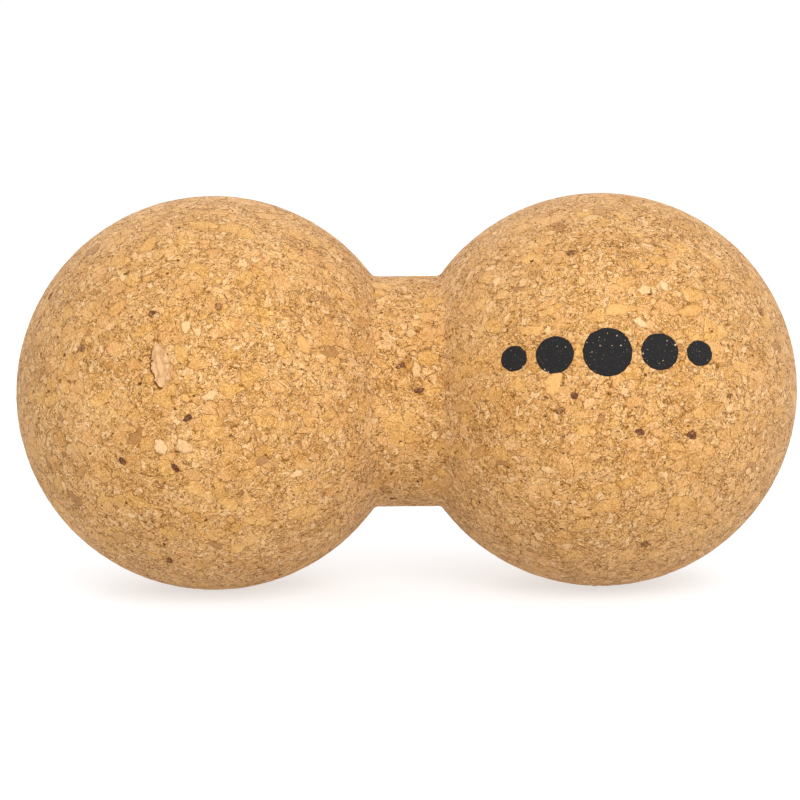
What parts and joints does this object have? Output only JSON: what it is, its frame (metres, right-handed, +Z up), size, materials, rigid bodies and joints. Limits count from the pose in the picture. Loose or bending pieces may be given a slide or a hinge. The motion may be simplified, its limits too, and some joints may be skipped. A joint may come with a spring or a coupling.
{
  "type": "duo massage ball",
  "caption": "Peanut-shaped massage ball of agglomerated cork: two equal balls joined by a short neck, turned as one body, with coarse granules bedded in the surface and a row of printed dots.",
  "frame": {"origin": "on the floor, under the middle of the neck", "axes": "+X along the turning axis through both balls, +Z up, -Y towards the printed front"},
  "size_m": [0.1582, 0.08, 0.08],
  "materials": {
    "agglomerated_cork": "matt, fine-ground and unsealed, warm golden tan with thin dark-brown crevices",
    "bark": "matt pinkish tan bark with a dark-brown edge",
    "pale_cork": "matt pale cream cork",
    "amber_cork": "matt golden amber cork",
    "red_brown_cork": "matt red-brown cork bark",
    "black_ink": "matt black pad-printed ink, lightly speckled"
  },
  "bodies": {
    "root": {"cork_body": "agglomerated_cork", "bark_fragment": "bark", "pale_granules": "pale_cork", "amber_granules": "amber_cork", "red_brown_granules": "red_brown_cork", "printed_dots": "black_ink"}
  },
  "joints": []
}
